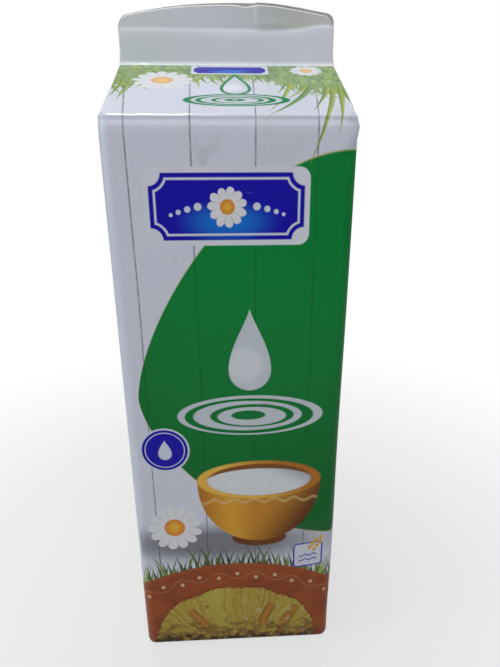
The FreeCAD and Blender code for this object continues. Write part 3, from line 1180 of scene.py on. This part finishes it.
def roof_meadow(sheet, x, local, z):
    """Grass that hangs from the ridge, with long blades under it."""
    down = FIN_FOOT_MM - z
    streak = cloud(x.tree, (1.1, 0.45), 0.5, 3.0, 0.6, 0.0, -0.45)
    mass = paint((0.14, 0.24, 0.115), (0.27, 0.38, 0.16), ramp(streak, 0.36, 0.66))
    fall = ramp(local, 5, 27) * 10 + ramp(-1 * local, 15, 31) * 6
    no_shade = ramp(z, 0, -1)
    grass(sheet, x, down - 6 - fall, HANG_ROWS, (0.12, 0.22, 0.07), (0.30, 0.41, 0.11), no_shade)
    edge = down - 10.0 - fall - (streak - 0.5) * 9
    sheet.lay(mass, inside(edge, 1.2))
    bright = paint((0.33, 0.44, 0.12), (0.22, 0.31, 0.06), ramp(-1 * local, 24, 28))
    lines = cloud(x.tree, (1.6, 0.22), 0.55, 2.0, 0.5, 4.0, 0.55)
    near_end = ramp(abs(local), 12, 26, 0.25, 0.85)
    sheet.lay(bright, ramp(lines, 0.54, 0.66) * inside(edge - 3, 1.0) * near_end)
    curls = cloud(x.tree, (1.3, 0.35), 0.4, 2.0, 0.5, 8.0, -0.8)
    curl = inside(abs(curls - 0.5) - 0.022, 0.03) * inside(edge - 1, 1.0) * near_end
    sheet.lay((0.37, 0.47, 0.13), curl * 0.7)
    for blade in LONG_BLADES:
        long_blade(sheet, local, down, blade)


def scuffs(sheet, x, z):
    """Small rubbed marks from handling."""
    rub = cloud(x.tree, (0.35, 1), 0.35, 2.0, 0.5, 21.0)
    where = cloud(x.tree, (1, 1), 0.035, 1.0, 0.5, 13.0)
    sheet.lay((0.30, 0.31, 0.32), ramp(rub, 0.70, 0.76) * ramp(where, 0.55, 0.65) * 0.3)
    mark = oval(x, z, SCUFF, (1.6, 0.5))
    sheet.lay((0.10, 0.13, 0.12), inside(mark, 0.3) * 0.4)


def small_seals(sheet, x, z):
    """A round blue seal with a drop, and a little white tag with wavy lines and an ear of grain."""
    reach = distance(x - SEAL[0], z - SEAL[1])
    sheet.lay((0.60, 0.63, 0.69), inside(reach - 8.1))
    sheet.lay(BLUE, inside(reach - 7.5))
    sheet.lay(SEAL_WHITE, inside(abs(reach - 6.4) - 0.16))
    sheet.lay(SEAL_WHITE, inside(drop_shape(x, z, (SEAL[0], SEAL[1] - 1.4), 2.2, 6.0)))
    skew = z - (x - TAG[0]) * 0.13
    tag = tablet(x, skew, TAG, (5.3, 5.3), 1.6)
    sheet.lay(BLUE, inside(tag))
    sheet.lay((0.58, 0.60, 0.67), inside(tag + 0.5))
    for row in (-0.3, -2.3):
        ripple = abs(skew - TAG[1] - row - sine(x * 2.1) * 0.35) - 0.3
        sheet.lay(BLUE, inside(higher(ripple, abs(x - TAG[0]) - 3.3)) * 0.85)
    for step, side in ((0, 1), (0, -1), (1, 1), (1, -1), (2, 1), (2, -1), (3, 0)):
        ear_x = TAG[0] + 1.4 + step * 1.05 + side * 0.8
        ear_z = TAG[1] + 2.7 + step * 1.55 - side * 0.45
        grain = oval(x, z, (ear_x, ear_z), (0.62, 0.95))
        sheet.lay(GRAIN_GOLD, inside(grain))


def roof_print(sheet, local, z):
    """The daisies, the drop and the small label on the roof."""
    up = z - SHOULDER_MM
    squat = up * SQUAT
    daisy(sheet, local, squat, (-19.9, 25.1 * SQUAT), 9.1, 13, 0.4, PALE_EYE)
    daisy(sheet, local, squat, (24.6, 33.6 * SQUAT), 5.3, 11, 0.0, PALE_EYE)
    drop_and_ripples(sheet, local, up, (2.0, 18.5), 3.6, (0.66, 0.68, 0.73), ((0.010, 0.21, 0.075), 1.0))
    plaque(sheet, local, up, (0.5, 34.0), (11.2, 2.7), with_flower=False)


def fin_print(sheet, local, z):
    """The fin is plain white, greener at its left end, and darker and greyer over the right part of its
    lip.
    """
    lip = z - LIP_MM - ramp(local, 22, 33) * 2.0
    white = paint(FIN_WHITE, (0.63, 0.675, 0.69), ramp(-1 * local, 8, 27) * 0.7)
    fin = paint(white, (0.57, 0.58, 0.565), ramp(local, -12, 26) * ramp(lip, -0.5, 0.5))
    sheet.lay(fin, higher(inside(FIN_FOOT_MM - 0.8 - z), inside(z + 0.4)))


def whole_print(around, z):
    """The two main walls are printed alike, and so are the two side walls."""
    x = wrap(around + PANEL_MM / 2, 2 * PANEL_MM) - PANEL_MM / 2
    local = from_middle(x)
    sheet, joint_gap = planks(x, z)
    leaf_field(sheet, x, z, joint_gap)
    drop_and_ripples(sheet, x, z, DROP, DROP_RADIUS, (0.60, 0.635, 0.68))
    plaque(sheet, x, z, LABEL, LABEL_HALF)
    bowl(sheet, x, z, BOWL)
    above = distance(local, z - DISH_FOOT) - DISH_REACH + 4
    mid_shade = ramp(abs(local + 3), 27, 10) * 0.75
    grass(sheet, x, above, SPRING_ROWS, (0.030, 0.045, 0.020), (0.27, 0.34, 0.07), mid_shade)
    daisy(sheet, x, z, DAISY, 9.6, 13)
    dish(sheet, local, z)
    grain_heap(sheet, local, z)
    small_seals(sheet, x, z)
    roof_meadow(sheet, x, local, z)
    roof_print(sheet, local, z)
    scuffs(sheet, x, z)
    fin_print(sheet, local, z)
    return sheet.colour


# ---- materials

def new_material(name):
    """A material, its node tree and its shader."""
    material = bpy.data.materials.new(name)
    material.use_nodes = True
    return material, material.node_tree, material.node_tree.nodes["Principled BSDF"]


def blank_places(tree):
    """Places round and up the flat blank, in mm, from the UV map."""
    uv = node_of(tree, "ShaderNodeUVMap", {}, uv_map=UV_NAME)
    split = node_of(tree, "ShaderNodeSeparateXYZ", {0: uv.outputs[0]})
    around = Amount(tree, split.outputs[0]) * (BLANK / MM) + BLANK_LEFT / MM
    upward = Amount(tree, split.outputs[1]) * (BLANK / MM) + BLANK_FOOT / MM
    return around, upward


def add_relief(tree, shader, height, strength, depth):
    """Fine relief from a height between 0 and about 1; the depth is in metres."""
    relief = tree.nodes.new("ShaderNodeBump")
    relief.inputs["Strength"].default_value = strength
    relief.inputs["Distance"].default_value = depth
    plug(tree, relief.inputs["Height"], height)
    tree.links.new(relief.outputs[0], shader.inputs["Normal"])


def board_material():
    """Printed board with its thin plastic coat: glossy, over faint fibre and ripples."""
    material, tree, shader = new_material("coated_board")
    around, upward = blank_places(tree)
    plug(tree, shader.inputs["Base Color"], whole_print(around, upward))
    rub = cloud(tree, (1, 1), 0.07, 3.0, 0.55)
    fibre = cloud(tree, (1, 0.6), 1.3, 3.0, 0.6)
    sealed = inside(abs(upward - FIN_FOOT_MM) - 3.5, 1.5)
    sealed = sealed * (1 - inside(abs(from_middle(around) + 26.5) - 0.5, 1.5) * 0.75)
    plug(tree, shader.inputs["Roughness"], 0.10 + rub * 0.08 + fibre * 0.05 + sealed * 0.45)
    ripple = cloud(tree, (1, 0.7), 0.12, 2.0)
    add_relief(tree, shader, ripple * 1.2 + fibre * 0.14, 0.35, 0.2 * MM)
    shader.inputs["Specular IOR Level"].default_value = 0.16
    return material


def cut_material(name, pale, dark):
    """Bare board fibre, as along a cut edge."""
    material, tree, shader = new_material(name)
    fibre = cloud(tree, (0.8, 1), 0.8, 4.0, 0.65)
    plug(tree, shader.inputs["Base Color"], paint(pale, dark, ramp(fibre, 0.42, 0.7)))
    plug(tree, shader.inputs["Roughness"], 0.7 + fibre * 0.2)
    add_relief(tree, shader, fibre, 0.3, 0.1 * MM)
    return material


# ---- scene

FLOOR_WHITE = 0.6  # how white the floor shows beside the carton, before it runs out to 1
WORLD_LIGHT = 0.295
CAMERA_SPOT = Vector((-0.97, -164.36, 167.33)) * MM
CAMERA_DOWN = 18.075  # degrees, as the next two
CAMERA_TURN = 2.681
CAMERA_ROLL = -0.297
SENSOR = 24.0
FOCAL = 16.19


def blend_shaders(tree, output, share, one, two):
    """Shows one shader where share is 0 and the other where it is 1."""
    mixer = tree.nodes.new("ShaderNodeMixShader")
    plug(tree, mixer.inputs["Fac"], share)
    tree.links.new(one.outputs[0], mixer.inputs[1])
    tree.links.new(two.outputs[0], mixer.inputs[2])
    tree.links.new(mixer.outputs[0], output.inputs["Surface"])


def make_floor():
    """A pale floor that keeps the carton's shadow and runs out to plain white."""
    bpy.ops.object.select_all(action="DESELECT")
    bpy.ops.mesh.primitive_plane_add(size=8, location=(0, 0, 0))
    floor = bpy.context.object
    floor.name = "floor"
    material = bpy.data.materials.new("pale_floor")
    material.use_nodes = True
    tree = material.node_tree
    tree.nodes.clear()
    output = tree.nodes.new("ShaderNodeOutputMaterial")
    diffuse = tree.nodes.new("ShaderNodeBsdfDiffuse")
    diffuse.inputs["Color"].default_value = (0.5, 0.5, 0.5, 1)
    white = tree.nodes.new("ShaderNodeEmission")
    white.inputs["Strength"].default_value = 1.0
    place = tree.nodes.new("ShaderNodeTexCoord")
    split = tree.nodes.new("ShaderNodeSeparateXYZ")
    tree.links.new(place.outputs["Object"], split.inputs[0])
    reach = distance(Amount(tree, split.outputs[0]), Amount(tree, split.outputs[1]))
    path = tree.nodes.new("ShaderNodeLightPath")
    share = ramp(reach, 0.05, 0.32, FLOOR_WHITE, 1.0) * Amount(tree, path.outputs["Is Camera Ray"])
    blend_shaders(tree, output, share, diffuse, white)
    floor.data.materials.append(material)


def make_camera():
    data = bpy.data.cameras.new("camera")
    camera = bpy.data.objects.new("camera", data)
    bpy.context.collection.objects.link(camera)
    data.sensor_fit = "VERTICAL"
    data.sensor_height = SENSOR
    data.lens = FOCAL
    data.clip_start = 0.01
    camera.location = CAMERA_SPOT
    turn = Euler((math.radians(90 - CAMERA_DOWN), 0, -math.radians(CAMERA_TURN)))
    turn.rotate_axis("Z", math.radians(CAMERA_ROLL))
    camera.rotation_euler = turn
    bpy.context.scene.camera = camera


def make_lamp(name, spot, size, power, tint=(1, 1, 1), only_gloss=False, no_gloss=False):
    """A soft area lamp turned to the carton; it may give only a glint, or everything but that."""
    data = bpy.data.lights.new(name, "AREA")
    data.shape = "RECTANGLE"
    data.size = size[0]
    data.size_y = size[1]
    data.energy = power
    data.color = tint
    lamp = bpy.data.objects.new(name, data)
    bpy.context.collection.objects.link(lamp)
    lamp.location = spot
    lamp.visible_diffuse = not only_gloss
    lamp.visible_glossy = not no_gloss
    aim = Vector((0, 0, TOP * 0.6)) - Vector(spot)
    lamp.rotation_euler = aim.to_track_quat("-Z", "Y").to_euler()


def make_world():
    """Soft light from all round, seen as plain white by the camera."""
    world = bpy.data.worlds.new("studio")
    bpy.context.scene.world = world
    world.use_nodes = True
    tree = world.node_tree
    tree.nodes.clear()
    output = tree.nodes.new("ShaderNodeOutputWorld")
    light = tree.nodes.new("ShaderNodeBackground")
    light.inputs["Color"].default_value = (0.97, 0.98, 1.0, 1)
    light.inputs["Strength"].default_value = WORLD_LIGHT
    seen = tree.nodes.new("ShaderNodeBackground")
    seen.inputs["Color"].default_value = (1, 1, 1, 1)
    path = tree.nodes.new("ShaderNodeLightPath")
    blend_shaders(tree, output, path.outputs["Is Camera Ray"], light, seen)


def make_carton():
    carton = make_sleeve()
    unroll(carton)
    fold_sleeve(carton)
    cut_edges(carton)
    carton.data.materials.clear()
    carton.data.materials.append(board_material())
    carton.data.materials.append(cut_material("cut_board", (0.66, 0.66, 0.66), (0.50, 0.48, 0.46)))
    carton.data.materials.append(cut_material("inner_board", (0.42, 0.42, 0.38), (0.33, 0.33, 0.29)))
    mark_cut_edges(carton)
    wear_in(carton)
    bpy.ops.object.select_all(action="DESELECT")
    carton.select_set(True)
    bpy.context.view_layer.objects.active = carton
    bpy.ops.object.shade_smooth_by_angle(angle=math.radians(CREASE_ANGLE))
    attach(carton, "root")
    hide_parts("carton")


bpy.context.scene.view_settings.view_transform = "Standard"
make_floor()
make_camera()
make_world()
make_lamp("overhead", (-0.15, 0.08, 1.3), (0.9, 0.9), 7.95)
make_lamp("high_front", (0.05, -0.45, 0.62), (0.5, 0.3), 1.5)
make_lamp("left_window", (-1.1, -0.2, 0.5), (0.5, 0.8), 4.4, (0.88, 0.94, 1.0))
make_lamp("high_back", (0.0, 1.1, 1.15), (1.2, 0.6), 4.7, no_gloss=True)
make_lamp("glint", (-0.28, -0.1, 1.6), (0.28, 0.3), 60.0, only_gloss=True)
make_carton()
